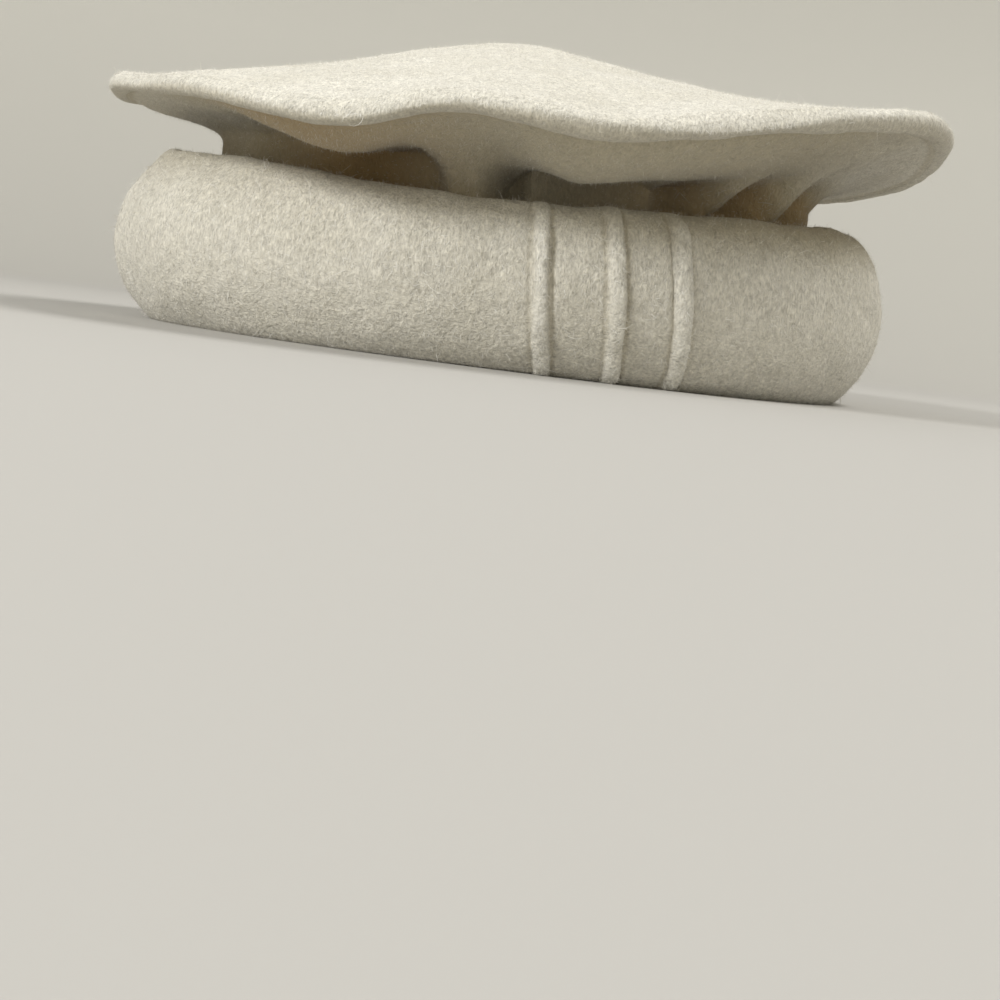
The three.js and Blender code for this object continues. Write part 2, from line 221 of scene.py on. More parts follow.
# Points along the wall's section: at the seam, from there to the neck, in the dent below it, and down from
# there to where the wall is back at the head
SEAM_POINTS = 2
UNDER_SHARES = np.linspace(0.0, 1.0, 48)
DENT_SHARES = np.linspace(0.0, 1.0, 9)[1:]
DOWN_SHARES = np.linspace(0.0, 1.0, 7)[1:]

# Points along the roll's section, in degrees about its middle: 90 is its top, 0 its outside and -90 its
# bottom. The first ones are hidden inside it
ROLL_HIDDEN = 18
ROLL_DEGREES = np.concatenate((np.linspace(450.0, 135.0, ROLL_HIDDEN), np.linspace(124.0, -90.0, 80)))

# Kinds of hair: how many there are, the limits of each one's length, lift, width and shade, the share that it
# makes of a rise and fall, how much it curls, and its steps
Hair = namedtuple("Hair", "count length lift width shade tip curl steps")
# The dark shades of the lying hairs on the crown's hem and on the wall are painted shade
HAIRS = {
    "crown_top": Hair(20000, (1.0, 3.0), (0.03, 0.22), (0.08, 0.18), (0.65, 0.97), 0.9, 0.5, 2),
    "crown_edge": Hair(9000, (0.7, 1.7), (0.05, 0.5), (0.06, 0.13), (0.6, 0.95), 0.7, 0.5, 2),
    "crown_hem": Hair(4000, (0.7, 1.8), (0.03, 0.15), (0.07, 0.15), (0.1, 0.5), 0.9, 0.5, 2),
    "crown_standing": Hair(3000, (0.8, 2.2), (0.4, 1.2), (0.05, 0.09), (0.7, 1.0), 0.55, 0.9, 2),
    "crown_stray": Hair(110, (2.5, 8.0), (1.0, 4.0), (0.08, 0.1), (0.8, 1.0), 0.5, 1.2, 7),
    "crown_fuzz": Hair(22000, (0.2, 0.8), (0.3, 1.1), (0.05, 0.09), (0.6, 0.95), 0.5, 0.5, 1),
    "wall_lying": Hair(12000, (1.2, 4.0), (0.03, 0.15), (0.07, 0.15), (0.0, 0.4), 0.9, 0.5, 2),
    "wall_fuzz": Hair(16000, (0.2, 0.8), (0.3, 1.1), (0.05, 0.09), (0.3, 0.8), 0.5, 0.5, 1),
    "roll_lying": Hair(33000, (0.8, 2.8), (0.04, 0.3), (0.06, 0.18), (0.2, 0.9), 0.9, 0.5, 2),
    "roll_standing": Hair(8000, (1.0, 2.8), (0.4, 1.6), (0.05, 0.1), (0.6, 1.0), 0.55, 0.9, 2),
    "roll_stray": Hair(600, (3.0, 9.0), (0.6, 3.0), (0.08, 0.11), (0.7, 1.0), 0.7, 1.6, 7),
    "roll_fuzz": Hair(12000, (0.2, 0.8), (0.3, 1.1), (0.05, 0.09), (0.5, 0.95), 0.5, 0.5, 1),
}
HAIR_SEEDS = {"crown": 31, "wall": 32, "roll": 33}
HAIR_FLOOR = 0.12  # the lowest that a hair comes
BRUSHED_HEIGHTS = (14.0, 28.0)  # heights between which the roll's nap begins to hang down
BRUSHED_SPREAD = 42.0  # how many degrees its hairs stray there
LOOSE_SPREAD = 90.0  # and how many more lower down

# Colours, as red, green, blue and opacity
FELT_DARKER = (0.75, 0.722, 0.638, 1.0)
FELT_PALER = (0.81, 0.785, 0.712, 1.0)
# The felt's painted shade: a dull colour, and a warm dark one deeper in
FELT_PAINTED_SHADE = (0.49, 0.44, 0.325, 1.0)
FELT_PAINTED_DEEP_SHADE = (0.37, 0.245, 0.105, 1.0)
HAIR_DARKEST = (0.42, 0.38, 0.29, 1.0)
HAIR_PALEST = (0.94, 0.925, 0.88, 1.0)
STUDIO_FLOOR = (0.50, 0.49, 0.47, 1.0)
STUDIO_WALL = (0.80, 0.79, 0.745, 1.0)
SKY_COLOUR = (1.0, 0.965, 0.88, 1.0)
SKY_STRENGTH = 0.47

# The studio in metres: a floor that curves up into a wall, and lights that shine on the hat
FLOOR_RADIUS = 0.9
FLOOR_CURVE = 1.6
STUDIO_TOP = 1.9
LIT_PLACE = (0.0, 0.0, 0.06)
Light = namedtuple("Light", "place size power colour")
LIGHTS = {
    "key": Light((0.91, -1.08, 0.81), 0.4, 15.0, (1.0, 1.0, 0.985)),
    "high": Light((0.0, 0.80, 1.45), 0.8, 15.2, (1.0, 0.985, 0.95)),
}

# The photograph's camera: where it stands, and how it is turned from looking level along -X
CAMERA_PLACE = (0.560, 0.0, 0.015)
CAMERA_ROLL = 7.2
CAMERA_PITCH = 6.58
CAMERA_YAW = 0.244
CAMERA_LENS = 57.42


# Curves and noise

def smoothstep(value, low, high):
    t = np.clip((value - low) / (high - low), 0.0, 1.0)
    return t * t * (3.0 - 2.0 * t)


def bumps(away, rows):
    """The sum of soft bumps, each given as its place, its width and its height."""
    return sum(height * np.exp(-(((away - place) / width) ** 2)) for place, width, height in rows_of(rows))


def hermite(t, span, before, start, end, after):
    """A smooth curve from start to end, each point given as its place and its value."""
    slope_start = span * (end[1] - before[1]) / (end[0] - before[0])
    slope_end = span * (after[1] - start[1]) / (after[0] - start[0])
    bend = 2.0 * start[1] - 2.0 * end[1] + slope_start + slope_end
    sag = -3.0 * start[1] + 3.0 * end[1] - 2.0 * slope_start - slope_end
    return ((bend * t + sag) * t + slope_start) * t + start[1]


def around(rows, column, turns):
    """A column of a table at any turns, as a smooth curve through the rows that closes on itself."""
    at, values = rows["turn"], rows[column]
    wrapped = np.mod(turns, 360.0)
    following = np.searchsorted(at, wrapped, side="right")

    def row(step):
        index = following + step
        return at[index % len(at)] + 360.0 * (index // len(at)), values[index % len(at)]

    before, start, end, after = row(-2), row(-1), row(0), row(1)
    span = end[0] - start[0]
    return hermite((wrapped - start[0]) / span, span, before, start, end, after)


def dome_rise(share):
    """The dome's profile as a smooth curve, level at the top."""
    at = np.concatenate(([-DOME["share"][1]], DOME["share"], [1.15]))
    rise = np.concatenate(([DOME["rise"][1]], DOME["rise"], [-0.13]))
    following = np.clip(np.searchsorted(at, share, side="right"), 2, len(at) - 2)
    before, start, end, after = ((at[following + step], rise[following + step]) for step in (-2, -1, 0, 1))
    span = end[0] - start[0]
    return hermite((share - start[0]) / span, span, before, start, end, after)


def lattice_noise(points, size, seed):
    """Smooth noise from -1 to 1 at points in space. Its lumps are about as large as size."""
    place = np.asarray(points) / size
    cell = np.floor(place).astype(np.int64)
    near = place - cell
    near = near * near * (3.0 - 2.0 * near)
    total = np.zeros(place.shape[:-1])
    for corner in np.ndindex(2, 2, 2):
        key = (cell + corner) * np.array([73856093, 19349663, 83492791])
        mixed = (key[..., 0] ^ key[..., 1] ^ key[..., 2] ^ (seed * 40503)) & 0x7FFFFFFF
        mixed = ((mixed ^ (mixed >> 13)) * 1274126177) & 0x7FFFFFFF
        mixed = ((mixed ^ (mixed >> 16)) * 668265263) & 0x7FFFFFFF
        weight = np.prod(np.where(corner, near, 1.0 - near), axis=-1)
        total += weight * (mixed / 0x3FFFFFFF - 1.0)
    return total


# Shapes, as grids of points: a row for each turn, and along it the points of the section

def all_turns(count):
    return np.linspace(0.0, 360.0, count, endpoint=False)[:, None]


def head_radius(turns):
    angle = np.radians(turns)
    half_length = np.where(np.sin(angle) > 0, HEAD_BACK, HEAD_FRONT)
    return 1.0 / np.hypot(np.cos(angle) / HEAD_SIDE, np.sin(angle) / half_length)


def set_at_turns(radius, height, turns):
    angle = np.radians(turns)
    return np.stack(np.broadcast_arrays(radius * np.cos(angle), radius * np.sin(angle), height), axis=-1)


def felt_outline(out, up):
    """The outside and then the inside of felt whose middle follows a path, as one outline."""
    along_out = np.gradient(out, axis=1)
    along_up = np.gradient(up, axis=1)
    length = np.hypot(along_out, along_up)
    across_out = -along_up / length * CLOTH / 2
    across_up = along_out / length * CLOTH / 2
    outline_out = np.concatenate((out + across_out, (out - across_out)[:, ::-1]), axis=1)
    outline_up = np.concatenate((up + across_up, (up - across_up)[:, ::-1]), axis=1)
    return outline_out, outline_up


def grid_normals(grid):
    along = np.roll(grid, -1, axis=1) - np.roll(grid, 1, axis=1)
    turning = np.roll(grid, -1, axis=0) - np.roll(grid, 1, axis=0)
    normals = np.cross(along, turning)
    return normals / np.maximum(np.linalg.norm(normals, axis=-1, keepdims=True), 1e-9)


def make_lumpy(grid, lumps, weight=1.0):
    """Pushes a surface in and out by soft lumps, each given as its size, its depth and a seed."""
    push = np.zeros(grid.shape[:2])
    for size, depth, seed in rows_of(lumps):
        push += depth * lattice_noise(grid, size, int(seed))
    return grid + grid_normals(grid) * (push * weight)[..., None]


# Crown

def rim_height(turns):
    """The height of the middle of the crown's edge."""
    return around(RIM, "height", turns) - around(EDGE, "drop", turns)


def hem_height(turns):
    """The height of the underside of the crown's edge."""
    return rim_height(turns) - EDGE_THICKNESS / 2 + around(EDGE, "thin", turns)


def dome_height(turns, share):
    plane = PLANE_HEIGHT + PLANE_TILT * np.cos(np.radians(turns - PLANE_TURN))
    wave = rim_height(turns) - plane
    edge = plane + wave * share**WAVE_FADE + EDGE_THICKNESS / 2
    return edge + (APEX_HEIGHT - edge) * dome_rise(share)


def crease_push(turns, out, flat_radius):
    """How far the crease moves points of the crown's top up."""
    first, last = CREASE_TURNS
    begun = smoothstep(turns, first, first + CREASE_FADE)
    ended = smoothstep(turns, last - CREASE_FADE, last)
    wander = CREASE_WANDER * np.sin(np.radians(turns * CREASE_WAVES))
    return begun * (1.0 - ended) * bumps(out - (flat_radius - CREASE_INSET - wander), CREASE)


def crown_grid():
    """The crown, out along the top, round the edge, in along the hem, and back under the top."""
    turns = all_turns(CROWN_COLUMNS)
    radius = around(RIM, "radius", turns)
    edge_round = EDGE_THICKNESS / 2
    flat_radius = radius - edge_round
    hem_radius = radius - HEM_WIDTH
    taper, sag, thin = (around(EDGE, column, turns) for column in ("taper", "sag", "thin"))
    bend = np.radians(EDGE_DEGREES)
    out = np.concatenate((
        flat_radius * TOP_SHARES,
        flat_radius + edge_round * np.cos(bend) ** np.where(bend > 0, taper, 1.0),
        flat_radius + (hem_radius - flat_radius) * HEM_SHARES,
        flat_radius * INSIDE_SHARES,
    ), axis=1)
    up = np.concatenate((
        dome_height(turns, TOP_SHARES) + crease_push(turns, flat_radius * TOP_SHARES, flat_radius),
        rim_height(turns) - sag + (edge_round + np.where(bend > 0, sag, -sag - thin)) * np.sin(bend),
        np.broadcast_to(hem_height(turns), (CROWN_COLUMNS, HEM_SHARES.size)),
        dome_height(turns, INSIDE_SHARES) - CLOTH,
    ), axis=1)
    return make_lumpy(set_at_turns(out, up, turns), CROWN_LUMPS)


def crown_shelter():
    """How much painted shade the crown's points get: none on its top, and more and more down round its edge.
    """
    hem = np.minimum(PAINTED_SHADE_INSIDE, around(PAINTED_SHADE, "outer", all_turns(CROWN_COLUMNS)))
    return np.concatenate((
        np.zeros((CROWN_COLUMNS, TOP_SHARES.size)),
        hem * smoothstep(-EDGE_DEGREES, *PAINTED_SHADE_EDGE),
        np.broadcast_to(hem, (CROWN_COLUMNS, HEM_SHARES.size)),
        np.full((CROWN_COLUMNS, INSIDE_SHARES.size), PAINTED_SHADE_INSIDE),
    ), axis=1)


# Wall

def gather_push(turns, along):
    """How far the gathers move the cloth out and up, at shares of the way in from the edge to the neck."""
    pushed_out = np.zeros(np.broadcast_shapes(turns.shape, along.shape))
    pushed_up = np.zeros_like(pushed_out)
    for turn, spread, out, down, starts, lean in rows_of(GATHERS):
        away = np.abs(np.mod(turns - turn - lean * (1.0 - along) + 180.0, 360.0) - 180.0)
        share = smoothstep(along, starts, 0.9) * (1.0 - smoothstep(away, 0.0, spread))
        pushed_out += out * share
        pushed_up -= down * share
    return pushed_out, pushed_up


def bezier(points, share):
    a, b, c, d = points
    rest = 1.0 - share
    return rest**3 * a + 3 * rest**2 * share * b + 3 * rest * share**2 * c + share**3 * d


def wall_path(turns):
    """The middle of the wall's cloth, from the seam in to the neck and down to the roll."""
    neck = head_radius(turns) + CLOTH / 2
    leaves = around(UNDERSIDE, "leaves", turns)
    bent = leaves + around(UNDERSIDE, "bend", turns)
    seam_out = around(RIM, "radius", turns) - HEM_WIDTH - SEAM_GAP
    seam_up = hem_height(turns) + CLOTH / 2
    start = seam_out - SEAM_FLAT
    curve_out = start + CURVE_IN * (neck - start)
    curve_up = seam_up + CURVE_DOWN * (leaves - seam_up) - around(UNDERSIDE, "droop", turns)

    pushed_out, pushed_up = gather_push(turns, UNDER_SHARES)
    groove = SEAM_GROOVE * (1.0 - smoothstep(UNDER_SHARES, 0.0, 0.12))
    under_out = bezier((start, curve_out, neck, neck), UNDER_SHARES) + pushed_out
    under_up = bezier((seam_up, curve_up, bent, leaves), UNDER_SHARES) + pushed_up + groove
    neck_out, neck_up = under_out[:, -1:], under_up[:, -1:]
    dent_out = neck + DENT_KEPT * np.minimum(neck_out - neck, 0.0)
    dent_up = leaves - DENT_DROP
    out = np.concatenate((
        seam_out,
        seam_out - SEAM_FLAT / 2,
        under_out,
        neck_out + (dent_out - neck_out) * smoothstep(DENT_SHARES, 0.0, 1.0),
        dent_out + (neck - dent_out) * smoothstep(DOWN_SHARES, 0.0, 1.0),
        neck,
    ), axis=1)
    up = np.concatenate((
        seam_up + SEAM_GROOVE,
        seam_up + SEAM_GROOVE,
        under_up,
        neck_up + (dent_up - neck_up) * DENT_SHARES,
        dent_up - BACK_OUT * DOWN_SHARES,
        np.full_like(neck, WALL_FOOT + SEAM_GAP),
    ), axis=1)
    return out, up


def wall_grid():
    """The wall, the outside of its cloth and then its inside."""
    turns = all_turns(WALL_COLUMNS)
    out, up = wall_path(turns)
    outline_out, outline_up = felt_outline(out, up)
    grid = set_at_turns(outline_out, outline_up, turns)
    faces_out = out.shape[1]
    loose = np.ones(faces_out)
    loose[:SEAM_POINTS] = 0.0
    loose[SEAM_POINTS:SEAM_POINTS + UNDER_SHARES.size] = smoothstep(UNDER_SHARES, 0.0, 0.2)
    weight = np.concatenate((loose, loose[::-1])) * smoothstep(grid[..., 2], 44.0, 52.0)
    return make_lumpy(grid, WALL_LUMPS, weight), faces_out


def wall_shelter(faces_out):
    """How much painted shade the wall's points get: more towards the neck, and less where a gather stands
    out.
    """
    turns = all_turns(WALL_COLUMNS)
    outer, deep = around(PAINTED_SHADE, "outer", turns), around(PAINTED_SHADE, "deep", turns)
    pushed_out, _ = gather_push(turns, UNDER_SHARES)
    how_deep = smoothstep(UNDER_SHARES - pushed_out / PAINTED_SHADE_GATHER, *PAINTED_SHADE_DEEP)
    shelter = np.full((WALL_COLUMNS, 2 * faces_out), PAINTED_SHADE_INSIDE)
    shelter[:, :faces_out] = deep
    shelter[:, :SEAM_POINTS] = outer + PAINTED_SHADE_SEAM
    shelter[:, SEAM_POINTS:SEAM_POINTS + UNDER_SHARES.size] = outer + (deep - outer) * how_deep
    return shelter


# Roll

def rib_push(turns):
    """How far the ribs stand out along the roll's section, with a groove on each side."""
    spread = np.degrees(RIB_WIDTH / 2 / (HEAD_SIDE + ROLL["width"][0]))
    push = np.zeros((len(turns), ROLL_DEGREES.size))
    for index, (turn, before, after) in enumerate(rows_of(RIBS)):
        sway = RIB_SWAY * np.sin(np.radians(ROLL_DEGREES * 3.1 + 70.0 * index))
        swell = 1.0 + RIB_SWELL * np.sin(np.radians(ROLL_DEGREES * 13.0 + 50.0 * index))
        away = (turns - turn - sway) / (spread * (0.92 + 0.08 * swell))
        strands = (ROLL_DEGREES * 0.43, (turns - turn) * 2.0, 40.0 * index)
        lumps = 1.0 + RIB_LUMPS * lattice_noise(np.stack(np.broadcast_arrays(*strands), axis=-1), 2.4, 27)
        push += RIB_HEIGHT * swell * lumps * np.sqrt(np.clip(1.0 - away**2, 0.0, None))
        push -= before * np.exp(-(((away + GROOVE_PLACE) / GROOVE_WIDTH) ** 2))
        push -= after * np.exp(-(((away - GROOVE_PLACE) / GROOVE_WIDTH) ** 2))
    stands = smoothstep(ROLL_DEGREES, *RELIEF_STARTS) * (1.0 - smoothstep(ROLL_DEGREES, 35.0, 105.0))
    return push * stands


def fold_push(turns):
    """A groove and a ridge beside it, where the cloth folds softly at the front of the roll."""
    away = turns - FOLD_TURN - FOLD_WANDER * np.sin(np.radians(ROLL_DEGREES * 1.5))
    shown = smoothstep(ROLL_DEGREES, -55.0, -20.0) * (1.0 - smoothstep(ROLL_DEGREES, 20.0, 65.0))
    return shown * bumps(away, FOLD)


def roll_turns():
    """Turns all round the roll, close together at the ribs."""
    close = [np.linspace(turn - RIB_REACH, turn + RIB_REACH, RIB_COLUMNS) for turn in RIBS["turn"]]
    plain = all_turns(ROLL_COLUMNS)[:, 0]
    clear = np.abs(plain[:, None] - RIBS["turn"]).min(axis=1) > RIB_CLEAR
    return np.sort(np.concatenate((plain[clear], *close)))[:, None]


def roll_path(turns):
    """The middle of the roll's cloth, from its loose edge inside round to the foot of the wall."""
    height, width = around(ROLL, "height", turns), around(ROLL, "width", turns)
    inner = CLOTH + SEAM_GAP
    middle_out, middle_up = (inner + width) / 2, (height - ROLL_PRESS) / 2
    half_out, half_up = (width - inner) / 2, (height + ROLL_PRESS) / 2
    cosine, sine = np.cos(np.radians(ROLL_DEGREES)), np.sin(np.radians(ROLL_DEGREES))
    inset = CLOTH / 2 + smoothstep(ROLL_DEGREES, 110.0, 250.0) * (CLOTH + LAYER_GAP)
    rounding = np.where(sine > 0, around(ROLL, "top", turns), around(ROLL, "bottom", turns))
    across = np.where(cosine > 0, np.abs(cosine) ** rounding, cosine)
    foot_shape = (len(turns), len(ROLL_FOOT["out"]))
    out = np.concatenate((
        middle_out + (half_out - inset) * across,
        np.broadcast_to(ROLL_FOOT["out"], foot_shape),
    ), axis=1)
    up = np.concatenate((
        np.maximum(middle_up + (half_up - inset) * sine, inset),
        np.broadcast_to(ROLL_FOOT["up"], foot_shape),
    ), axis=1)
    return out, up


def roll_grid():
    """The roll, the outside of its cloth and then its inside."""
    turns = roll_turns()
    out, up = roll_path(turns)
    outline_out, outline_up = felt_outline(out, up)
    shown = ROLL_DEGREES.size
    push = rib_push(turns) + fold_push(turns)
    away_out = (outline_out[:, :shown] - out[:, :shown]) / (CLOTH / 2)
    away_up = (outline_up[:, :shown] - up[:, :shown]) / (CLOTH / 2)
    outline_out[:, :shown] += away_out * push
    outline_up[:, :shown] += away_up * push

    lean = turns + ROLL_TWIST * ((1.0 - outline_up / around(ROLL, "height", turns)) ** 2 - 0.25)
    grid = set_at_turns(head_radius(lean) + outline_out, outline_up, lean)
    relief = smoothstep(ROLL_DEGREES, *RELIEF_STARTS) * (1.0 - smoothstep(ROLL_DEGREES, 118.0, 124.0))
    weight = np.zeros(grid.shape[:2])
    weight[:, :shown] = relief
    weight *= smoothstep(grid[..., 2], 1.0, 9.0)
    grid = make_lumpy(grid, ROLL_LUMPS, weight)
    grid[..., 2] = np.where(grid[..., 2] < 0.3, 0.0, grid[..., 2])
    return grid


def roll_shelter(shape):
    """How much painted shade the roll's points get: more on its top and in the grooves, and less on the ribs.
    """
    turns = roll_turns()
    ribs = rib_push(turns)[:, ROLL_HIDDEN:]
    on_top = around(PAINTED_SHADE, "roll", turns) * smoothstep(ROLL_DEGREES[ROLL_HIDDEN:], *PAINTED_SHADE_TOP)
    shelter = np.full(shape, PAINTED_SHADE_INSIDE)
    shelter[:, ROLL_HIDDEN:ROLL_DEGREES.size] = (
        PAINTED_SHADE_ROLL - RIB_PAINTED_HIGHLIGHT * ribs + GROOVE_PAINTED_SHADE * np.maximum(-ribs, 0.0) + on_top
    )
    return np.clip(shelter, 0.0, 1.0)


# Meshes

def mesh_piece(name, points, faces, material, **attributes):
    """A piece of the hat from points in millimetres, with named numbers stored at its points."""
    mesh = bpy.data.meshes.new(name)
    mesh.from_pydata(points.reshape(-1, 3) * MM, [], faces)
    mesh.polygons.foreach_set("use_smooth", np.ones(len(mesh.polygons), bool))
    for attribute_name, values in attributes.items():
        attribute = mesh.attributes.new(attribute_name, "FLOAT", "POINT")
        attribute.data.foreach_set("value", values.astype(np.float32).ravel())
    mesh.materials.append(material)
    mesh.update()
    piece = bpy.data.objects.new(name, mesh)
    bpy.context.scene.collection.objects.link(piece)
    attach(piece, "root")
    return piece


def ring_faces(columns, points, closed):
    """Quads of a grid that goes all the way round. A closed section joins its last point to its first."""
    column = np.arange(columns)[:, None]
    point = np.arange(points if closed else points - 1)[None, :]
    next_column, next_point = (column + 1) % columns, (point + 1) % points
    corners = np.stack(np.broadcast_arrays(
        column * points + point,
        column * points + next_point,
        next_column * points + next_point,
        next_column * points + point,
    ), axis=-1)
    return corners.reshape(-1, 4).tolist()


def crown_piece(grid, shelter, material):
    columns, points = grid.shape[:2]
    centres = np.stack((grid[:, 0].mean(axis=0), grid[:, -1].mean(axis=0)))
    faces = ring_faces(columns, points, closed=False)
    for column in range(columns):
        following = (column + 1) % columns
        last = points - 1
        faces.append([columns * points, column * points, following * points])
        faces.append([columns * points + 1, following * points + last, column * points + last])
    all_points = np.concatenate((grid.reshape(-1, 3), centres))
    # The piece carries its painted shade as a number at each point
    all_shelter = np.concatenate((shelter.ravel(), shelter[0, [0, -1]]))
    piece = mesh_piece("crown_felt", all_points, faces, material, shelter=all_shelter)
    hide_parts("crown_top")


def wall_piece(grid, shelter, material):
    faces = ring_faces(*grid.shape[:2], closed=True)
    piece = mesh_piece("wall_felt", grid, faces, material, shelter=shelter)
    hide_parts("side_wall")


def roll_piece(grid, shelter, material):
    faces = ring_faces(*grid.shape[:2], closed=True)
    piece = mesh_piece("roll_felt", grid, faces, material, shelter=shelter)
    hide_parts("rolled_band")


# Hairs

def scatter(grid, count, chance, random):
    """Spots on a grid, spread evenly by area and then by chance, with the directions at each one."""
    following = np.roll(grid, -1, axis=0)
    along = grid[:, 1:] - grid[:, :-1]
    turning = (following - grid)[:, :-1]
    normal = np.cross(along, turning)
    area = np.linalg.norm(normal, axis=-1)
    odds = (area * np.broadcast_to(chance, grid.shape[:2])[:, :-1]).ravel()
    chosen = random.choice(odds.size, count, p=odds / odds.sum())
    shares = random.random((2, count, 1))
    along, turning, normal = (field.reshape(-1, 3)[chosen] for field in (along, turning, normal))
    place = grid[:, :-1].reshape(-1, 3)[chosen] + along * shares[0] + turning * shares[1]
    normal = normal / np.maximum(np.linalg.norm(normal, axis=-1, keepdims=True), 1e-9)
    along = along / np.maximum(np.linalg.norm(along, axis=-1, keepdims=True), 1e-9)
    across = np.cross(normal, along)
    return {"place": place, "normal": normal, "along": along, "across": across, "cell": chosen}


def hairs(spots, heading, kind, random):
    """Flat hairs that lie on a surface or stand up from it, and the shade of each one.

    The heading is an angle from along to across. A hair rises by its lift, and has come back down again at
    its end where its tip is 1.
    """
    limits = (kind.length, kind.lift, kind.width)
    length, lift, width = (random.uniform(*pair, (kind.count, 1, 1)) for pair in limits)
    heading = np.radians(heading)[:, None]
    curl = random.normal(0.0, kind.curl, (kind.count, 1, 1)) + 1e-4
    share = np.linspace(0.0, 1.0, kind.steps + 1)[None, :, None]
    ahead = (np.cos(heading) * spots["along"] + np.sin(heading) * spots["across"])[:, None, :]
    normal = spots["normal"][:, None, :]
    side = np.cross(normal, ahead)
    bend = curl * share
    centre = spots["place"][:, None, :] + normal * lift * np.sin(np.pi * kind.tip * share)
    centre = centre + length * (np.sin(bend) / curl * ahead + (1.0 - np.cos(bend)) / curl * side)
    flat = np.cos(bend) * side - np.sin(bend) * ahead
    half = flat * width / 2 * (1.0 - 0.75 * share**2)
    points = np.stack((centre - half, centre + half), axis=2)
    points[..., 2] = np.maximum(points[..., 2], HAIR_FLOOR)
    return points, random.uniform(*kind.shade, kind.count)


def fuzz(grid, kind, random):
    """Short straight hairs that stand up all over a surface and soften its outline."""
    spots = scatter(grid, kind.count, 1.0, random)
    return hairs(spots, random.uniform(0.0, 360.0, kind.count), kind, random)


def hair_piece(name, tufts, material):
    """One mesh of many hairs, from tufts of hairs and the shade of each hair."""
    points, faces, shades = [], [], []
    total = 0
    for tuft, shade in tufts:
        count, rows = tuft.shape[:2]
        first = total + 2 * rows * np.arange(count)[:, None] + 2 * np.arange(rows - 1)[None, :]
        faces.append(np.stack((first, first + 1, first + 3, first + 2), axis=-1).reshape(-1, 4))
        points.append(tuft.reshape(-1, 3))
        shades.append(np.repeat(shade, 2 * rows))
        total += count * rows * 2
    faces = np.concatenate(faces).tolist()
    mesh_piece(name, np.concatenate(points), faces, material, shade=np.concatenate(shades))


def crown_hairs(grid, material):
    random = np.random.default_rng(HAIR_SEEDS["crown"])
    edge = TOP_SHARES.size
    # The stretch of the section that each kind grows on, and its chance along it
    parts = {
        "crown_top": (slice(4, edge + 2), 1.0),
        "crown_edge": (slice(edge - 3, edge + 6), np.linspace(0.2, 1.4, 9).clip(0.0, 1.0)),
        "crown_hem": (slice(edge + 5, edge + 12), 1.0),
        "crown_standing": (slice(4, edge + 6), 1.0),
        "crown_stray": (slice(edge - 6, edge + 9), 1.0),
    }
    spots = {}
    for name, (part, chance) in parts.items():
        spots[name] = scatter(grid[:, part], HAIRS[name].count, chance, random)
    any_heading = random.uniform(0.0, 360.0, HAIRS["crown_top"].count)
    tufts = []
    for name in parts:
        kind = HAIRS[name]
        outwards = name == "crown_edge"
        heading = random.normal(0.0, 40.0, kind.count) if outwards else any_heading[:kind.count]
        tufts.append(hairs(spots[name], heading, kind, random))
    tufts.append(fuzz(grid[:, 4:edge + 9], HAIRS["crown_fuzz"], random))
    hair_piece("crown_nap", tufts, material)


def wall_hairs(grid, faces_out, shelter, material):
    random = np.random.default_rng(HAIR_SEEDS["wall"])
    lying = HAIRS["wall_lying"]
    under = slice(3, faces_out - 16)
    spots = scatter(grid[:, under], lying.count, 1.05 - shelter[:, under], random)
    tufts = (
        hairs(spots, random.normal(-25.0, 22.0, lying.count), lying, random),
        fuzz(grid[:, 3:faces_out - 8], HAIRS["wall_fuzz"], random),
    )
    hair_piece("wall_nap", tufts, material)


def roll_hairs(grid, shelter, material):
    random = np.random.default_rng(HAIR_SEEDS["roll"])
    lying, standing, stray = HAIRS["roll_lying"], HAIRS["roll_standing"], HAIRS["roll_stray"]
    outside = grid[:, ROLL_HIDDEN:ROLL_DEGREES.size]
    outside_shelter = shelter[:, ROLL_HIDDEN:ROLL_DEGREES.size - 1].ravel()
    clumps = np.clip(1.0 + 0.7 * lattice_noise(outside, 5.0, 43), 0.2, 2.0)
    near_floor = smoothstep(-outside[..., 2], -5.0, -1.0)

    lying_spots = scatter(outside, lying.count, clumps, random)
    place = lying_spots["place"]
    brushed = smoothstep(place[:, 2] + 9.0 * lattice_noise(place, 18.0, 41), *BRUSHED_HEIGHTS)
    strays = BRUSHED_SPREAD + LOOSE_SPREAD * (1.0 - brushed)
    lying_heading = random.normal(0.0, 1.0, lying.count) * strays
    # Painted light on the lying hairs: paler on the ribs, darker in the grooves and on the roll's top under
    # the crown
    painted_lightness = PAINTED_SHADE_ROLL - outside_shelter[lying_spots["cell"]]
    painted_hair_lightness = np.where(painted_lightness > 0.0, 5.0, 3.0) * painted_lightness
    standing_spots = scatter(outside, standing.count, 1.0, random)
    stray_spots = scatter(outside, stray.count, 0.04 + near_floor, random)
    any_heading = random.uniform(0.0, 360.0, standing.count)
    lying_points, lying_shade = hairs(lying_spots, lying_heading, lying, random)
    tufts = (
        # the lying hairs are also a little paler high on the roll, where the nap hangs down
        (lying_points, lying_shade + 0.1 * brushed + painted_hair_lightness),
        hairs(standing_spots, any_heading, standing, random),
        hairs(stray_spots, any_heading[:stray.count], stray, random),
        fuzz(outside, HAIRS["roll_fuzz"], random),
    )
    hair_piece("roll_nap", tufts, material)


# Materials

def add_node(tree, kind, inputs=None, **settings):
    node = tree.nodes.new(kind)
    for name, value in settings.items():
        setattr(node, name, value)
    for name, value in (inputs or {}).items():
        if isinstance(value, bpy.types.NodeSocket):
            tree.links.new(value, node.inputs[name])
        else:
            node.inputs[name].default_value = value
    return node


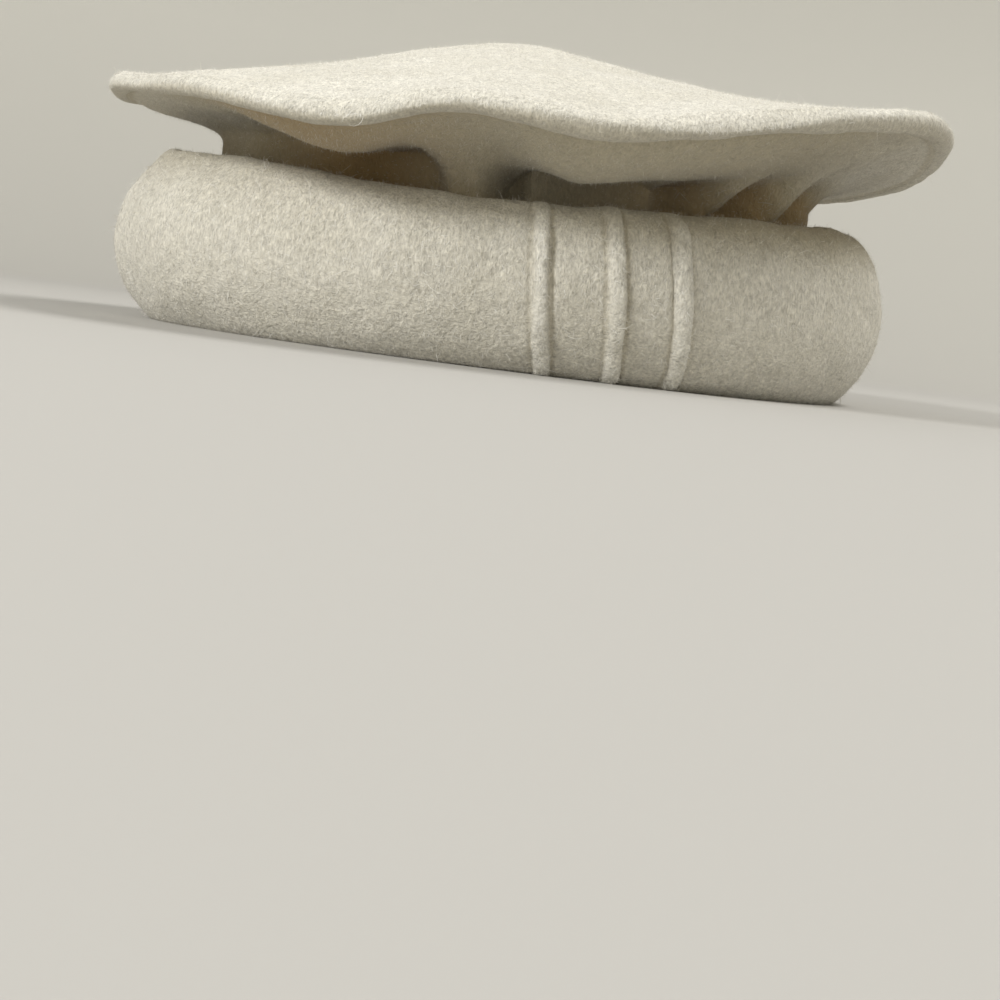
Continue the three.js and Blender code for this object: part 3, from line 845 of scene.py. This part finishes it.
def new_material(name, roughness, specular, sheen):
    material = bpy.data.materials.new(name)
    material.use_nodes = True
    tree = material.node_tree
    shader = tree.nodes["Principled BSDF"]
    shader.inputs["Roughness"].default_value = roughness
    shader.inputs["Specular IOR Level"].default_value = specular
    shader.inputs["Sheen Weight"].default_value = sheen
    shader.inputs["Sheen Roughness"].default_value = 0.5
    return material, tree, shader


def noise_node(tree, place, scale, detail, roughness, distortion):
    return add_node(tree, "ShaderNodeTexNoise", {
        "Vector": place, "Scale": scale, "Detail": detail, "Roughness": roughness, "Distortion": distortion,
    }).outputs["Fac"]


def between(tree, value, low, high):
    """A noise value spread over a range from low to high."""
    return add_node(tree, "ShaderNodeMapRange", {
        "Value": value, "From Min": 0.3, "From Max": 0.7, "To Min": low, "To Max": high,
    }).outputs["Result"]


def nap_noise(tree, place, stretch):
    """Fine noise in streaks. A small stretch makes the streaks long that way."""
    stretched = add_node(tree, "ShaderNodeMapping", {"Vector": place, "Scale": stretch}).outputs["Vector"]
    return noise_node(tree, stretched, scale=1500.0, detail=3.0, roughness=0.6, distortion=0.3)


def felt_material():
    material, tree, shader = new_material("wool_felt", roughness=0.95, specular=0.12, sheen=0.2)
    place = add_node(tree, "ShaderNodeTexCoord").outputs["Object"]
    height = add_node(tree, "ShaderNodeSeparateXYZ", {"Vector": place}).outputs["Z"]
    cloud = noise_node(tree, place, scale=45.0, detail=3.0, roughness=0.55, distortion=0.6)
    clump = noise_node(tree, place, scale=420.0, detail=4.0, roughness=0.6, distortion=0.5)

    # The nap hangs down on the upper part of the roll and lies along it lower down
    wander = add_node(tree, "ShaderNodeMath", {0: cloud, 1: 0.02, 2: height}, operation="MULTIPLY_ADD")
    brushed = add_node(tree, "ShaderNodeMapRange", {
        "Value": wander.outputs["Value"], "From Min": 0.022, "From Max": 0.038,
    })
    nap = add_node(tree, "ShaderNodeMixRGB", {
        "Fac": brushed.outputs["Result"],
        "Color1": nap_noise(tree, place, (0.6, 0.6, 1.0)),
        "Color2": nap_noise(tree, place, (1.0, 1.0, 0.4)),
    }).outputs["Color"]

    tone = add_node(tree, "ShaderNodeMixRGB", {
        "Fac": between(tree, cloud, 0.0, 1.0), "Color1": FELT_DARKER, "Color2": FELT_PALER,
    })
    # Painted shade: the felt turns duller, then warm and dark, and its texture calmer, by how much painted
    # shade each point has
    shelter = add_node(tree, "ShaderNodeAttribute", attribute_name="shelter")
    partly = add_node(tree, "ShaderNodeMapRange", {"Value": shelter.outputs["Fac"], "From Max": 0.5})
    deeply = add_node(tree, "ShaderNodeMapRange", {"Value": shelter.outputs["Fac"], "From Min": 0.5})
    painted_half_shade = add_node(tree, "ShaderNodeMixRGB", {
        "Fac": partly.outputs["Result"], "Color1": tone.outputs["Color"], "Color2": FELT_PAINTED_SHADE,
    })
    painted_full_shade = add_node(tree, "ShaderNodeMixRGB", {
        "Fac": deeply.outputs["Result"], "Color1": painted_half_shade.outputs["Color"], "Color2": FELT_PAINTED_DEEP_SHADE,
    })
    depth = add_node(tree, "ShaderNodeMath", {
        0: between(tree, clump, 0.84, 1.12), 1: between(tree, nap, 0.68, 1.2),
    }, operation="MULTIPLY")
    calm = add_node(tree, "ShaderNodeMapRange", {
        "Value": shelter.outputs["Fac"], "To Min": depth.outputs["Value"], "To Max": 0.92,
    })
    colour = add_node(tree, "ShaderNodeVectorMath", {
        0: painted_full_shade.outputs["Color"], "Scale": calm.outputs["Result"],
    }, operation="SCALE")
    tree.links.new(colour.outputs["Vector"], shader.inputs["Base Color"])

    clumps = add_node(tree, "ShaderNodeBump", {"Height": clump, "Strength": 0.7, "Distance": 0.0012})
    naps = add_node(tree, "ShaderNodeBump", {
        "Height": nap, "Strength": 0.7, "Distance": 0.0006, "Normal": clumps.outputs["Normal"],
    })
    tree.links.new(naps.outputs["Normal"], shader.inputs["Normal"])
    return material


def hair_material():
    material, tree, shader = new_material("wool_hair", roughness=0.8, specular=0.2, sheen=0.2)
    shade = add_node(tree, "ShaderNodeAttribute", attribute_name="shade")
    tone = add_node(tree, "ShaderNodeMixRGB", {
        "Fac": shade.outputs["Fac"], "Color1": HAIR_DARKEST, "Color2": HAIR_PALEST,
    })
    tree.links.new(tone.outputs["Color"], shader.inputs["Base Color"])
    return material


def stage_material():
    """Plain paper, a little paler on the wall than on the floor."""
    material, tree, shader = new_material("studio_paper", roughness=0.9, specular=0.2, sheen=0.0)
    place = add_node(tree, "ShaderNodeTexCoord").outputs["Object"]
    distance = add_node(tree, "ShaderNodeVectorMath", {0: place}, operation="LENGTH").outputs["Value"]
    behind = add_node(tree, "ShaderNodeMapRange", {"Value": distance, "From Min": 0.6, "From Max": 2.0})
    tone = add_node(tree, "ShaderNodeMixRGB", {
        "Fac": behind.outputs["Result"], "Color1": STUDIO_FLOOR, "Color2": STUDIO_WALL,
    })
    tree.links.new(tone.outputs["Color"], shader.inputs["Base Color"])
    return material


# Studio

def studio_bowl():
    """A floor that curves up into a wall all round."""
    angles = np.radians(np.linspace(-90.0, 0.0, 33))
    curve_out, curve_up = FLOOR_CURVE * np.cos(angles), FLOOR_CURVE * np.sin(angles)
    radius = np.concatenate(([0.001], FLOOR_RADIUS + curve_out, [FLOOR_RADIUS + FLOOR_CURVE]))
    height = np.concatenate(([0.0], FLOOR_CURVE + curve_up, [STUDIO_TOP]))
    grid = set_at_turns(radius, height, all_turns(STUDIO_COLUMNS))
    mesh = bpy.data.meshes.new("studio")
    faces = [face[::-1] for face in ring_faces(*grid.shape[:2], closed=False)]
    faces.append([column * grid.shape[1] for column in range(grid.shape[0])])
    mesh.from_pydata(grid.reshape(-1, 3), [], faces)
    mesh.polygons.foreach_set("use_smooth", np.ones(len(mesh.polygons), bool))
    mesh.materials.append(stage_material())
    studio = bpy.data.objects.new("studio", mesh)
    bpy.context.scene.collection.objects.link(studio)


def area_light(name, place, size, power, colour):
    light = bpy.data.lights.new(name, "AREA")
    light.shape = "DISK"
    light.size = size
    light.energy = power
    light.color = colour
    lamp = bpy.data.objects.new(name, light)
    lamp.location = place
    lamp.rotation_euler = (Vector(LIT_PLACE) - Vector(place)).to_track_quat("-Z", "Y").to_euler()
    lamp.visible_camera = False
    bpy.context.scene.collection.objects.link(lamp)


def lights():
    for name, light in LIGHTS.items():
        area_light(name, *light)
    world = bpy.data.worlds.new("studio_sky")
    world.use_nodes = True
    world.node_tree.nodes["Background"].inputs["Color"].default_value = SKY_COLOUR
    world.node_tree.nodes["Background"].inputs["Strength"].default_value = SKY_STRENGTH
    bpy.context.scene.world = world


def camera():
    roll, pitch, yaw = (math.radians(angle) for angle in (CAMERA_ROLL, CAMERA_PITCH, CAMERA_YAW))
    level_right = Vector((0.0, math.cos(roll), math.sin(roll)))
    level_down = Vector((0.0, math.sin(roll), -math.cos(roll)))
    level_ahead = Vector((-1.0, 0.0, 0.0))
    pitched = math.cos(pitch) * level_ahead + math.sin(pitch) * level_down
    down = math.cos(pitch) * level_down - math.sin(pitch) * level_ahead
    ahead = math.cos(yaw) * pitched + math.sin(yaw) * level_right
    right = math.cos(yaw) * level_right - math.sin(yaw) * pitched
    lens = bpy.data.cameras.new("photo_camera")
    lens.sensor_width = 36.0
    lens.lens = CAMERA_LENS
    lens.clip_start = 0.005
    eye = bpy.data.objects.new("photo_camera", lens)
    eye.matrix_world = Matrix.Translation(CAMERA_PLACE) @ Matrix((right, -down, -ahead)).transposed().to_4x4()
    bpy.context.scene.collection.objects.link(eye)
    bpy.context.scene.camera = eye


# Scene

felt = felt_material()
hair = hair_material()

crown = crown_grid()
crown_piece(crown, crown_shelter(), felt)
crown_hairs(crown, hair)

wall, wall_faces_out = wall_grid()
# The wall's painted shade, darker towards the neck
painted_wall_shade = wall_shelter(wall_faces_out)
wall_piece(wall, painted_wall_shade, felt)
wall_hairs(wall, wall_faces_out, painted_wall_shade, hair)

roll = roll_grid()
# The roll's painted shade, on its top and in its grooves, with a painted highlight on its ribs
painted_roll_shade = roll_shelter(roll.shape[:2])
roll_piece(roll, painted_roll_shade, felt)
roll_hairs(roll, painted_roll_shade, hair)

studio_bowl()
lights()
camera()
bpy.context.scene.view_settings.view_transform = "Standard"
